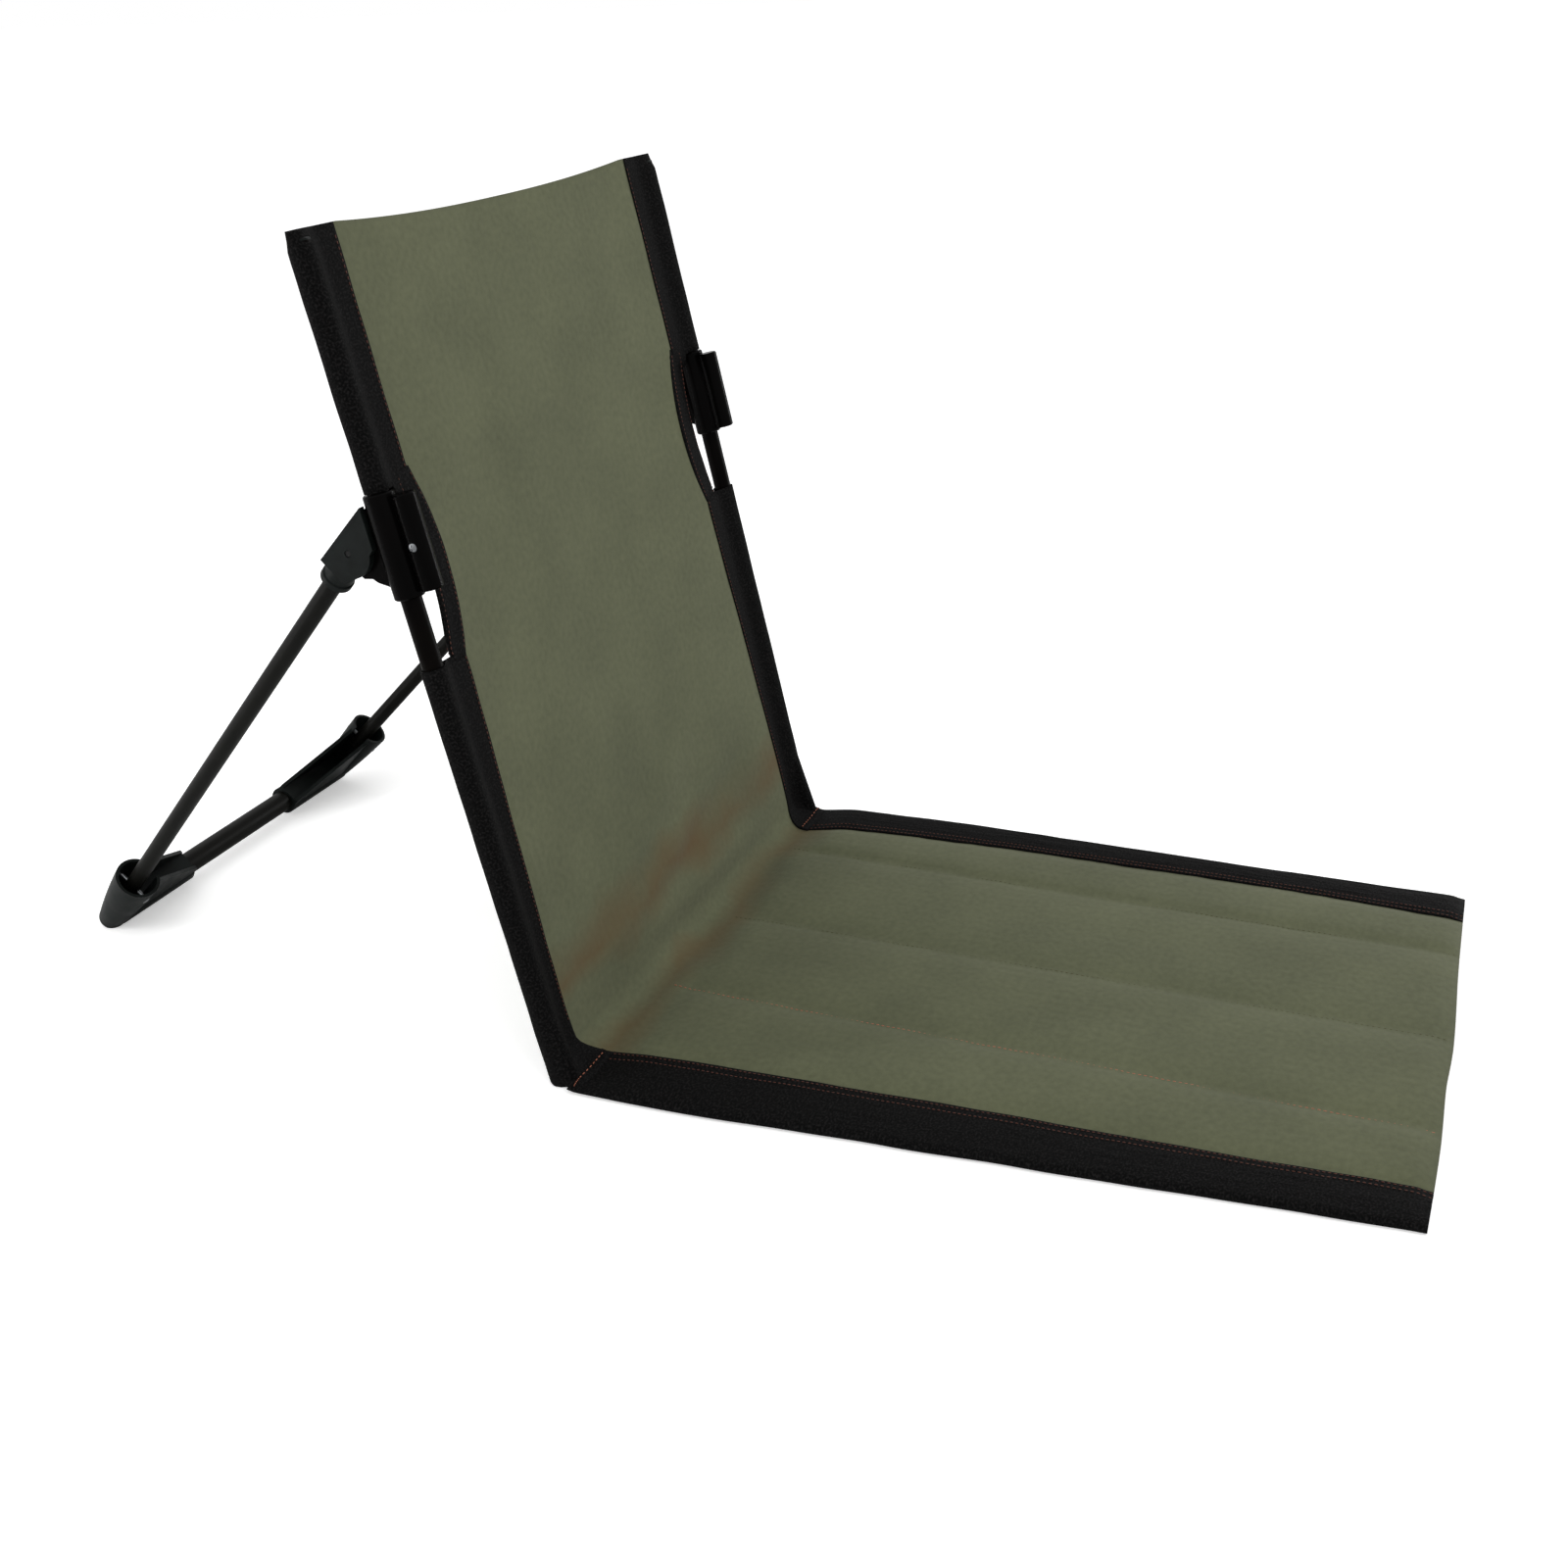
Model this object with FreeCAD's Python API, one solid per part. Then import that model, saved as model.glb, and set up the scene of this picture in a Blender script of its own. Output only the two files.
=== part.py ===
import FreeCAD, Part
import math
import os

V = FreeCAD.Vector
X_AXIS = V(1, 0, 0)
Y_AXIS = V(0, 1, 0)
Z_AXIS = V(0, 0, 1)

# Folding floor chair, in millimetres. X runs across it, the sitter faces -Y, and Z is up.
# The floor is Z = 0. Right and left are the sitter's own: the right side lies at -X.
# Everything is drawn with the crease, where the back's plane meets the floor, at Y = 0.
# At the end all of it moves along Y, so that the origin is midway from front to rear.

# Overall sizes
chair_width = 400.0
back_length = 500.0
seat_length = 474.0
back_lean = 12.0

# Back tubes and the plugs in their ends
back_tube_diameter = 12.0
back_tube_wall = 1.2
tube_foot_height = 8.0
tube_top_margin = 6.0
plug_grip = 12.0
plug_fit = 0.05
plug_dome = 2.5
plug_brim = 1.0

# Webbing sleeves, which wrap the tubes in a round tunnel and end in a flat tail
sleeve_cloth = 1.2
sleeve_slack = 0.1
border_width = 40.0
tail_thickness = 2.0
tunnel_taper = 16.0
upper_sleeve_end = 367.0
lower_sleeve_end = 265.0

# Cloth of the back: a shallow backward bow, a sagging top edge and a scallop on each side
cloth_thickness = 1.4
back_bow = 5.0
bow_start = 0.005
bow_fade = 60.0
top_sag = 7.0
scallop_depth = 11.0
binding_width = 14.0

# Bend from the back to the seat, which ends at the line that the seat folds about
bend_radius = 18.0
fold_clearance = 0.3

# Seat: lengthwise channels between two borders, thinner where it nears the fold
seat_edge_thickness = 5.0
seat_crown = 1.6
seat_seams = (-100.0, 0.0, 100.0)
crown_fade = 25.0
front_bevel = 4.5
front_bevel_rise = 1.5
border_thickness = 6.0
border_step = 0.5

# Brackets: a barrel clamped on each tube, a slimmer barrel in front of it, an ear behind
bracket_bottom = 306.0
bracket_length = 58.0
barrel_diameter = 17.4
lobe_diameter = 13.0
lobe_offset = 14.2
lobe_inset = 2.0
lobe_drop = 2.5
lobe_web = 8.0
tube_grip = 0.02
rim_chamfer = 0.8
ear_thickness = 6.0
ear_radius = 9.0
ear_margin = 3.0
ear_web_rise = 7.5
ear_notch = 15.5
ear_notch_rise = 10.6
ear_shelf = 18.5
ear_shelf_rise = 13.2
ear_tip = 24.0
ear_tip_rise = 13.9
screw_height = 27.0
screw_head_diameter = 5.0
screw_head_clearance = 0.1
screw_head_height = 1.3
screw_rim_height = 0.4
screw_seat_depth = 0.7
screw_shank_diameter = 2.6
screw_shank_length = 10.0
screw_slot_width = 0.9
screw_slot_length = 3.5
screw_slot_depth = 0.5

# Hinge pins, pressed into the ears, with their ends just under the leg fittings' sides
pivot_height = 335.6
pivot_offset = 26.0
pin_diameter = 4.0
pin_clearance = 0.05
pin_seat_clearance = 0.01
pin_recess = 0.4
pin_chamfer = 0.4

# Leg fittings: a fork round the ear, straight along its top and round below, with a heel
# that stops the leg against the barrel, and a socket for the leg's tube
fork_side_gap = 0.3
fork_plate = 4.2
fork_radius = 14.0
fork_top = 10.0
fork_reach = 16.6
heel_gap = 0.6
neck_start = 9.0
neck_diameter = 14.0
socket_diameter = 17.0
socket_rim_diameter = 18.6
socket_rim_length = 5.0
socket_end = 28.0
socket_depth = 10.0
socket_fit = 0.03

# Support frame: two legs that draw in towards the feet, and a crossbar between the feet
leg_diameter = 11.0
leg_wall = 1.2
foot_spread = 130.0
foot_reach = 395.0
crossbar_height = 13.0
crossbar_diameter = 16.0
crossbar_wall = 1.2

# Cup feet, measured up the leg from where its axis crosses the crossbar's
cup_mouth = 50.0
cup_mouth_diameter = 30.0
cup_waist = 16.0
cup_waist_diameter = 24.6
cup_toe = 18.0
cup_toe_diameter = 18.0
cup_wall = 2.0
cup_floor = 14.0
cup_floor_diameter = 13.0
leg_end = 30.0
foot_socket_length = 70.0
foot_socket_diameter = 21.6
crossbar_insertion = 46.0
crossbar_fit = 0.05
keel_start = 2.0
keel_inset = 0.4
slot_width = 13.0
slot_floor = 9.6
trough_wall = 2.6
rivet_height = 38.0
rivet_diameter = 3.2
rivet_clearance = 0.05
rivet_head_diameter = 6.4
rivet_head_height = 1.4
rivet_rim_height = 0.5
rivet_seat_depth = 0.8

half_width = chair_width / 2.0
tube_radius = back_tube_diameter / 2.0
tunnel_radius = tube_radius + sleeve_cloth
tube_x = half_width - tunnel_radius
tube_bottom = tube_foot_height
tube_top = back_length - tube_top_margin
tail_x = half_width - border_width
barrel_radius = barrel_diameter / 2.0
lobe_x = tube_x - lobe_inset
lean = math.radians(back_lean)

# The bend leaves the back's plane at bend_start and comes level at the fold line
nose_radius = seat_edge_thickness / 2.0
fold_z = nose_radius
bend_start = (fold_z + bend_radius * (1.0 - math.sin(lean))) / math.cos(lean)
fold_y = bend_start * math.sin(lean) - bend_radius * math.cos(lean)

# The support frame is flat. It is drawn with the crossbar along X and the legs up Z,
# and then tipped forward until it meets the hinge pins.
pivot_y = pivot_height * math.sin(lean) + pivot_offset * math.cos(lean)
pivot_z = pivot_height * math.cos(lean) - pivot_offset * math.sin(lean)
frame_rise = pivot_z - crossbar_height
frame_run = foot_reach - pivot_y
frame_length = math.hypot(frame_rise, frame_run)
frame_tilt = math.atan2(frame_run, frame_rise)
leg_splay = math.atan2(tube_x - foot_spread, frame_length)
leg_length = math.hypot(frame_length, tube_x - foot_spread)


def place_back(shape):
    """Tips a shape, drawn upright with the back's plane at Y = 0, into the back's lean."""
    placed = shape.copy()
    placed.rotate(V(0, 0, 0), X_AXIS, -back_lean)
    return placed


def place_frame(shape):
    """Tips a shape drawn in the support frame's own plane into its place."""
    placed = shape.copy()
    placed.rotate(V(0, 0, 0), X_AXIS, math.degrees(frame_tilt))
    placed.translate(V(0, foot_reach, crossbar_height))
    return placed


def along_leg(shape):
    """Turns a shape drawn up the Z axis onto the left leg, in the support frame's plane."""
    placed = shape.copy()
    placed.rotate(V(0, 0, 0), Y_AXIS, math.degrees(leg_splay))
    placed.translate(V(foot_spread, 0, 0))
    return placed


def on_side(shape, side):
    """Shapes are drawn for the sitter's left, at +X, and mirrored for the right."""
    return shape if side == "left" else shape.mirror(V(0, 0, 0), X_AXIS)


def above_floor(shape):
    """Cuts away what lies under the floor, which leaves a flat sole."""
    reach = back_length + seat_length
    ground = Part.makeBox(2 * reach, 2 * reach, reach, V(-reach, -reach, -reach))
    return shape.cut(ground)


def face_of(edges):
    return Part.Face(Part.Wire(edges))


def line(start, end):
    return Part.makeLine(start, end)


def arc(start, middle, end):
    return Part.Arc(start, middle, end).toShape()


def prism(points, travel):
    """Extrudes a closed polygon."""
    return Part.Face(Part.makePolygon(points + [points[0]])).extrude(travel)


def turned(profile, at):
    """Revolves a profile of (radius, height) corners about a vertical axis through a point."""
    corners = [V(radius, 0, height) for radius, height in profile]
    solid = Part.Face(Part.makePolygon(corners + [corners[0]])).revolve(V(0, 0, 0), Z_AXIS, 360)
    solid.translate(at)
    return solid


def chamfered_bar(radius, length, chamfer, at):
    profile = [
        (0, 0),
        (radius - chamfer, 0),
        (radius, chamfer),
        (radius, length - chamfer),
        (radius - chamfer, length),
        (0, length),
    ]
    return turned(profile, at)


def dome_edge(radius, base, rise):
    """Half of a spherical cap's outline, from its rim in to its crown on the Z axis."""
    sphere = (radius ** 2 + rise ** 2) / (2.0 * rise)
    middle = base + rise - sphere + math.sqrt(sphere ** 2 - (radius / 2.0) ** 2)
    return arc(V(radius, 0, base), V(radius / 2.0, 0, middle), V(0, 0, base + rise))


def domed_head(radius, rim_height, height):
    """Low dome about the Z axis, with its flat face at the origin."""
    edges = [
        line(V(0, 0, 0), V(radius, 0, 0)),
        line(V(radius, 0, 0), V(radius, 0, rim_height)),
        dome_edge(radius, rim_height, height - rim_height),
        line(V(0, 0, height), V(0, 0, 0)),
    ]
    return face_of(edges).revolve(V(0, 0, 0), Z_AXIS, 360)


def pipe(radius, wall, length, at, direction):
    bar = Part.makeCylinder(radius, length, at, direction)
    return bar.cut(Part.makeCylinder(radius - wall, length, at, direction))


# Back tubes and plugs, drawn upright

def back_tube():
    foot = V(tube_x, 0, tube_bottom)
    return pipe(tube_radius, back_tube_wall, tube_top - tube_bottom, foot, Z_AXIS)


def tube_plug(end):
    """Domed plug whose brim covers the tube's end, with a shank inside the tube."""
    bore = tube_radius - back_tube_wall - plug_fit
    plug = domed_head(tube_radius, plug_brim, plug_dome)
    plug = plug.fuse(Part.makeCylinder(bore, plug_grip, V(0, 0, -plug_grip), Z_AXIS))
    if end == tube_bottom:
        plug.rotate(V(0, 0, 0), X_AXIS, 180)
    plug.translate(V(tube_x, 0, end))
    return plug


# Webbing sleeves, drawn upright

def sleeve_section(height):
    """Round tunnel about the tube that narrows into the flat tail."""
    half_tail = tail_thickness / 2.0
    taper_x = tube_x - tunnel_radius - tunnel_taper
    run = tube_x - taper_x
    swing = math.acos(tunnel_radius / math.hypot(run, half_tail))
    touch = math.pi - math.atan2(half_tail, run) - swing
    touch_x = tube_x + tunnel_radius * math.cos(touch)
    touch_y = tunnel_radius * math.sin(touch)
    rear = [
        V(touch_x, touch_y, height),
        V(taper_x, half_tail, height),
        V(tail_x, half_tail, height),
    ]
    front = [V(p.x, -p.y, p.z) for p in reversed(rear)]
    outline = rear + front
    edges = [line(a, b) for a, b in zip(outline, outline[1:])]
    edges.append(arc(front[-1], V(half_width, 0, height), rear[0]))
    return face_of(edges)


def sleeve(low, high, bore_low, bore_high):
    body = sleeve_section(low).extrude(V(0, 0, high - low))
    foot = V(tube_x, 0, bore_low)
    radius = tube_radius + sleeve_slack
    return body.cut(Part.makeCylinder(radius, bore_high - bore_low, foot, Z_AXIS))


def upper_sleeve():
    """Runs from above the bracket to the top corner, where it is sewn shut over the plug."""
    shut = tube_top + plug_dome + sleeve_slack
    return sleeve(upper_sleeve_end, back_length, upper_sleeve_end, shut)


def bend_strip(near_x, far_x, thickness):
    """Cloth that turns from the back's plane forward to the fold line, ending just behind it."""
    sweep = math.pi / 2.0 - lean
    centre = V(near_x, -bend_radius, bend_start)

    def at(radius, angle):
        return centre + V(0, radius * math.cos(angle), -radius * math.sin(angle))

    outer = bend_radius + thickness / 2.0
    inner = bend_radius - thickness / 2.0
    edges = [
        arc(at(outer, 0), at(outer, sweep / 2), at(outer, sweep)),
        line(at(outer, sweep), at(inner, sweep)),
        arc(at(inner, sweep), at(inner, sweep / 2), at(inner, 0)),
        line(at(inner, 0), at(outer, 0)),
    ]
    width = far_x - near_x
    strip = place_back(face_of(edges).extrude(V(width, 0, 0)))
    room = nose_radius + fold_clearance
    resting = Part.makeCylinder(room, width, V(near_x, 0, 0), X_AXIS)
    folded = place_back(Part.makeBox(width, 2 * room, bend_radius, V(near_x, -room, 0)))
    swept = resting.fuse(folded)
    swept.translate(V(0, fold_y, fold_z))
    return strip.cut(swept)


def lower_sleeve():
    """Runs from under the bracket down to the floor, and turns forward to meet the seat."""
    shut = tube_bottom - plug_dome - sleeve_slack
    body = place_back(sleeve(-tunnel_radius, lower_sleeve_end, shut, lower_sleeve_end))
    depth = bend_start + tunnel_radius
    corner = V(tail_x, -tunnel_radius, -tunnel_radius)
    tail_below = Part.makeBox(border_width, 2 * tunnel_radius, depth, corner)
    post = Part.makeCylinder(tunnel_radius, depth, V(tube_x, 0, -tunnel_radius), Z_AXIS)
    body = body.cut(place_back(tail_below.cut(post)))
    turn = bend_strip(tail_x, half_width, tail_thickness)
    room = tube_radius + sleeve_slack
    plug_room = Part.makeCylinder(room, bend_start + bend_radius - shut, V(tube_x, 0, shut), Z_AXIS)
    return above_floor(body.fuse(turn.cut(place_back(plug_room)))).removeSplitter()


def scallop_curve(inset):
    """Points of the scallop, which bows toward the middle of the back between the sleeves."""
    x = tail_x + inset
    middle = (upper_sleeve_end + lower_sleeve_end) / 2.0
    return V(x, 0, upper_sleeve_end), V(x - scallop_depth, 0, middle), V(x, 0, lower_sleeve_end)


def side_binding():
    """Webbing that edges the scallop and runs from one sleeve's tail to the other's."""
    inner = scallop_curve(0.0)
    outer = scallop_curve(binding_width)
    edges = [
        arc(inner[0], inner[1], inner[2]),
        line(inner[2], outer[2]),
        arc(outer[2], outer[1], outer[0]),
        line(outer[0], inner[0]),
    ]
    band = face_of(edges)
    band.translate(V(0, -tail_thickness / 2.0, 0))
    return band.extrude(V(0, tail_thickness, 0))


# Cloth of the back

def panel_section(height, bow):
    """Thin strip across the back, bowed backward in the middle."""
    half = cloth_thickness / 2.0
    ends = [V(-tail_x, half, height), V(tail_x, half, height)]
    fronts = [V(tail_x, -half, height), V(-tail_x, -half, height)]
    rear = arc(ends[0], V(0, half + bow, height), ends[1])
    front = arc(fronts[0], V(0, bow - half, height), fronts[1])
    return Part.Wire([rear, line(ends[1], fronts[0]), front, line(fronts[1], ends[0])])


def back_panel():
    foot = panel_section(bend_start, bow_start)
    middle = panel_section(bend_start + bow_fade, back_bow)
    top = panel_section(back_length, back_bow)
    sheet = Part.makeLoft([foot, middle], True, True).fuse(Part.makeLoft([middle, top], True, True))
    depth = back_bow + bend_radius

    near = V(-tail_x, -depth, back_length)
    far = V(tail_x, -depth, back_length)
    above = V(0, 0, back_length)
    lid = face_of([
        arc(near, V(0, -depth, back_length - top_sag), far),
        line(far, far + above),
        line(far + above, near + above),
        line(near + above, near),
    ])
    sheet = sheet.cut(lid.extrude(V(0, 2 * depth, 0)))

    curve = [point + V(0, -depth, 0) for point in scallop_curve(0.0)]
    bite = face_of([arc(curve[0], curve[1], curve[2]), line(curve[2], curve[0])])
    bite = bite.extrude(V(0, 2 * depth, 0))
    sheet = sheet.cut(bite).cut(bite.mirror(V(0, 0, 0), X_AXIS))
    return place_back(sheet).fuse(bend_strip(-tail_x, tail_x, cloth_thickness)).removeSplitter()


# Brackets with their screws and hinge pins, drawn upright

def ear():
    """Plate behind the barrel that carries the hinge pin, with a web below that stays clear
    of the leg's socket when it folds."""
    left = tube_x - ear_thickness / 2.0
    root = barrel_radius / 2.0
    low = bracket_bottom
    high = bracket_bottom + bracket_length - ear_margin
    points = [
        (root, low + ear_margin),
        (barrel_radius, low + ear_web_rise),
        (ear_notch, low + ear_notch_rise),
        (ear_shelf, low + ear_shelf_rise),
        (ear_tip, low + ear_tip_rise),
        (pivot_offset + ear_radius, pivot_height),
        (pivot_offset, pivot_height + ear_radius),
        (root, high),
    ]
    plate = prism([V(left, y, z) for y, z in points], V(ear_thickness, 0, 0))
    boss = Part.makeCylinder(ear_radius, ear_thickness, V(left, pivot_offset, pivot_height), X_AXIS)
    return plate.fuse(boss)


def screw_seat():
    """Centre of the screw head's flat face, let into the slimmer barrel's outer side."""
    outer = lobe_x + lobe_diameter / 2.0
    return V(outer - screw_seat_depth, -lobe_offset, bracket_bottom + screw_height)


def bracket():
    barrel = chamfered_bar(barrel_radius, bracket_length, rim_chamfer, V(tube_x, 0, bracket_bottom))
    lobe_length = bracket_length - 2 * lobe_drop
    lobe_foot = V(lobe_x, -lobe_offset, bracket_bottom + lobe_drop)
    lobe = chamfered_bar(lobe_diameter / 2.0, lobe_length, rim_chamfer, lobe_foot)
    web_low = lobe_foot + V(-lobe_web / 2.0, 0, rim_chamfer)
    web = Part.makeBox(lobe_web, lobe_offset, lobe_length - 2 * rim_chamfer, web_low)
    body = barrel.fuse([lobe, web, ear()])
    foot = V(tube_x, 0, bracket_bottom)
    grip = Part.makeCylinder(tube_radius + tube_grip, bracket_length, foot, Z_AXIS)
    pin_start = V(tube_x - ear_thickness / 2.0, pivot_offset, pivot_height)
    pin_radius = pin_diameter / 2.0 + pin_seat_clearance
    pin_hole = Part.makeCylinder(pin_radius, ear_thickness, pin_start, X_AXIS)
    spot_radius = screw_head_diameter / 2.0 + screw_head_clearance
    spot = Part.makeCylinder(spot_radius, lobe_diameter, screw_seat(), X_AXIS)
    shank = Part.makeCylinder(screw_shank_diameter / 2.0, screw_shank_length, screw_seat(), -X_AXIS)
    return body.cut([grip, pin_hole, spot, shank]).removeSplitter()


def bracket_screw():
    """Pan-head screw with a cross slot, driven into the slimmer barrel from the outer side."""
    seat = screw_seat()
    shank = Part.makeCylinder(screw_shank_diameter / 2.0, screw_shank_length, seat, -X_AXIS)
    head = domed_head(screw_head_diameter / 2.0, screw_rim_height, screw_head_height)
    low = screw_head_height - screw_slot_depth
    corner = V(-screw_slot_length / 2.0, -screw_slot_width / 2.0, low)
    for turn in (0, 90):
        slot = Part.makeBox(screw_slot_length, screw_slot_width, screw_slot_depth, corner)
        slot.rotate(V(0, 0, 0), Z_AXIS, turn)
        head = head.cut(slot)
    head.rotate(V(0, 0, 0), Y_AXIS, 90)
    head.translate(seat)
    return shank.fuse(head).removeSplitter()


def fork_gap():
    return ear_thickness + 2.0 * fork_side_gap


def fork_half_width():
    return fork_gap() / 2.0 + fork_plate


def hinge_pin():
    length = 2.0 * (fork_half_width() - pin_recess)
    pin = chamfered_bar(pin_diameter / 2.0, length, pin_chamfer, V(0, 0, -length / 2.0))
    pin.rotate(V(0, 0, 0), Y_AXIS, 90)
    pin.translate(V(tube_x, pivot_offset, pivot_height))
    return pin


# Legs and their fittings, drawn in the support frame's plane

def heel_point(along_face):
    """Point on the heel's face, which lies along the barrel when open, given by its distance
    up the back from the hinge pin."""
    turn = frame_tilt + lean
    heel = pivot_offset - barrel_radius - heel_gap
    y = along_face * math.sin(turn) - heel * math.cos(turn)
    z = along_face * math.cos(turn) + heel * math.sin(turn)
    return y, frame_length + z


def leg_fitting():
    half = fork_half_width()
    start = tube_x - half
    turn = frame_tilt + lean
    heel = pivot_offset - barrel_radius - heel_gap
    heel_height = (fork_top + heel * math.cos(turn)) / math.sin(turn)
    outline = [
        (fork_top, frame_length - fork_reach),
        heel_point(heel_height),
        heel_point(0.0),
        (-fork_radius * math.cos(turn / 2.0), frame_length - fork_radius * math.sin(turn / 2.0)),
        (-socket_diameter / 2.0, frame_length - fork_reach),
    ]
    fork = prism([V(start, y, z) for y, z in outline], V(2 * half, 0, 0))
    round_end = Part.makeCylinder(fork_radius, 2 * half, V(start, 0, frame_length), X_AXIS)
    reach = fork_radius + fork_reach
    lid = Part.makeBox(2 * half, fork_radius, 2 * reach, V(start, fork_top, frame_length - reach))
    sweep = Part.makeBox(2 * half, reach, reach, V(start, -reach, frame_length - fork_reach - reach))
    round_end = round_end.cut([lid, sweep])

    mouth = leg_length - socket_end
    low = V(0, 0, leg_length - fork_reach)
    socket_radius = socket_diameter / 2.0
    neck = Part.makeCone(socket_radius, neck_diameter / 2.0, fork_reach - neck_start, low, Z_AXIS)
    socket = Part.makeCylinder(socket_radius, socket_end - fork_reach, V(0, 0, mouth), Z_AXIS)
    rim = chamfered_bar(socket_rim_diameter / 2.0, socket_rim_length, rim_chamfer, V(0, 0, mouth))
    body = fork.fuse([round_end, along_leg(neck), along_leg(socket), along_leg(rim)])

    slot_low = V(tube_x - fork_gap() / 2.0, -reach, frame_length - fork_reach)
    slot = Part.makeBox(fork_gap(), 2 * reach, 2 * reach, slot_low)
    hole_radius = pin_diameter / 2.0 + pin_clearance
    hole = Part.makeCylinder(hole_radius, 2 * half, V(start, 0, frame_length), X_AXIS)
    bore = Part.makeCylinder(leg_diameter / 2.0 + socket_fit, socket_depth, V(0, 0, mouth), Z_AXIS)
    return body.cut([slot, hole, along_leg(bore)]).removeSplitter()


def leg_tube():
    top = leg_length - socket_end + socket_depth
    tube = pipe(leg_diameter / 2.0, leg_wall, top - leg_end, V(0, 0, leg_end), Z_AXIS)
    hole_radius = rivet_diameter / 2.0 + rivet_clearance
    hole = Part.makeCylinder(hole_radius, 2 * leg_diameter, V(0, -leg_diameter, rivet_height), Y_AXIS)
    return along_leg(tube.cut(hole))


# Feet with their rivets, and the crossbar, drawn in the support frame's plane

def cup():
    """Thimble about the leg's axis: a round toe, a waist and a wide mouth."""
    toe = cup_toe_diameter / 2.0
    toe_side = V(toe, 0, toe - cup_toe)
    toe_round = V(toe * math.sqrt(0.5), 0, toe - cup_toe - toe * math.sqrt(0.5))
    mouth = V(cup_mouth_diameter / 2.0, 0, cup_mouth)
    edges = [
        arc(V(0, 0, -cup_toe), toe_round, toe_side),
        arc(toe_side, V(cup_waist_diameter / 2.0, 0, cup_waist), mouth),
        line(mouth, V(0, 0, cup_mouth)),
        line(V(0, 0, cup_mouth), V(0, 0, -cup_toe)),
    ]
    return face_of(edges).revolve(V(0, 0, 0), Z_AXIS, 360)


def foot_socket():
    """Round socket for the crossbar, with a keel from the toe under it, and above it a trough
    that the leg can fold down into."""
    radius = foot_socket_diameter / 2.0
    inner_end = foot_spread - foot_socket_length
    tube = Part.makeCylinder(radius, foot_socket_length, V(inner_end, 0, 0), X_AXIS)
    toe_radius = cup_toe_diameter / 2.0
    below = cup_toe - toe_radius
    toe = V(foot_spread - below * math.sin(leg_splay), 0, -below * math.cos(leg_splay))
    keel_from = V(inner_end + keel_start, 0, 0)
    run = toe - keel_from
    keel = Part.makeCone(radius - keel_inset, toe_radius - keel_inset, run.Length, keel_from, run)
    half = slot_width / 2.0 + trough_wall
    walls = prism(
        [
            V(inner_end, -half, 0),
            V(foot_spread, -half, 0),
            V(foot_spread, -half, cup_mouth * math.cos(leg_splay)),
            V(inner_end, -half, radius),
        ],
        V(0, 2 * half, 0),
    )
    return tube.fuse([keel, walls])


def rivet_seat():
    """Distance of a rivet head's flat face from the leg's axis, a little under the cup's skin."""
    share = (rivet_height - cup_waist) / (cup_mouth - cup_waist)
    skin = cup_waist_diameter + share * (cup_mouth_diameter - cup_waist_diameter)
    return skin / 2.0 - rivet_seat_depth


def foot():
    body = along_leg(cup()).fuse(foot_socket())
    well = Part.makeCone(
        cup_floor_diameter / 2.0,
        cup_mouth_diameter / 2.0 - cup_wall,
        cup_mouth - cup_floor,
        V(0, 0, cup_floor),
        Z_AXIS,
    )
    inner_end = foot_spread - foot_socket_length
    bore_radius = crossbar_diameter / 2.0 + crossbar_fit
    bore = Part.makeCylinder(bore_radius, crossbar_insertion, V(inner_end, 0, 0), X_AXIS)
    slot = Part.makeBox(
        foot_socket_length + cup_mouth,
        slot_width,
        cup_mouth + cup_mouth_diameter,
        V(inner_end - cup_mouth, -slot_width / 2.0, slot_floor),
    )
    hole_radius = rivet_diameter / 2.0 + rivet_clearance
    across = V(0, -cup_mouth_diameter, rivet_height)
    hole = Part.makeCylinder(hole_radius, 2 * cup_mouth_diameter, across, Y_AXIS)
    seats = []
    for way in (-1, 1):
        face = V(0, way * rivet_seat(), rivet_height)
        radius = rivet_head_diameter / 2.0 + rivet_clearance
        seats.append(along_leg(Part.makeCylinder(radius, cup_mouth_diameter, face, Y_AXIS * way)))
    body = body.cut([along_leg(well), bore, slot, along_leg(hole)] + seats)
    return above_floor(place_frame(body))


def headed_pin(radius, length, head):
    """Pin along Z, centred on the origin, with the same head at both ends."""
    shank = Part.makeCylinder(radius, length, V(0, 0, -length / 2.0), Z_AXIS)
    top = head.copy()
    bottom = head.copy()
    top.translate(V(0, 0, length / 2.0))
    bottom.rotate(V(0, 0, 0), X_AXIS, 180)
    bottom.translate(V(0, 0, -length / 2.0))
    return shank.fuse([top, bottom]).removeSplitter()


def foot_rivet():
    """Rivet that pins the leg in its cup, square to the support frame's plane."""
    head = domed_head(rivet_head_diameter / 2.0, rivet_rim_height, rivet_head_height)
    rivet = headed_pin(rivet_diameter / 2.0, 2.0 * rivet_seat(), head)
    rivet.rotate(V(0, 0, 0), X_AXIS, 90)
    rivet.translate(V(0, 0, rivet_height))
    return along_leg(rivet)


def crossbar():
    half = foot_spread - foot_socket_length + crossbar_insertion
    return pipe(crossbar_diameter / 2.0, crossbar_wall, 2 * half, V(-half, 0, 0), X_AXIS)


# Seat

def thin_at_fold(shape, near_x, far_x, full):
    """Planes the top down to the fold's thickness, and rounds the end about the fold line."""
    width = far_x - near_x
    wedge = prism(
        [
            V(near_x, fold_y, seat_edge_thickness),
            V(near_x, fold_y, 2 * full),
            V(near_x, fold_y - crown_fade, 2 * full),
            V(near_x, fold_y - crown_fade, full),
        ],
        V(width, 0, 0),
    )
    nose = Part.makeCylinder(nose_radius, width, V(near_x, fold_y, fold_z), X_AXIS)
    return shape.cut(wedge).fuse(nose).removeSplitter()


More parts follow.
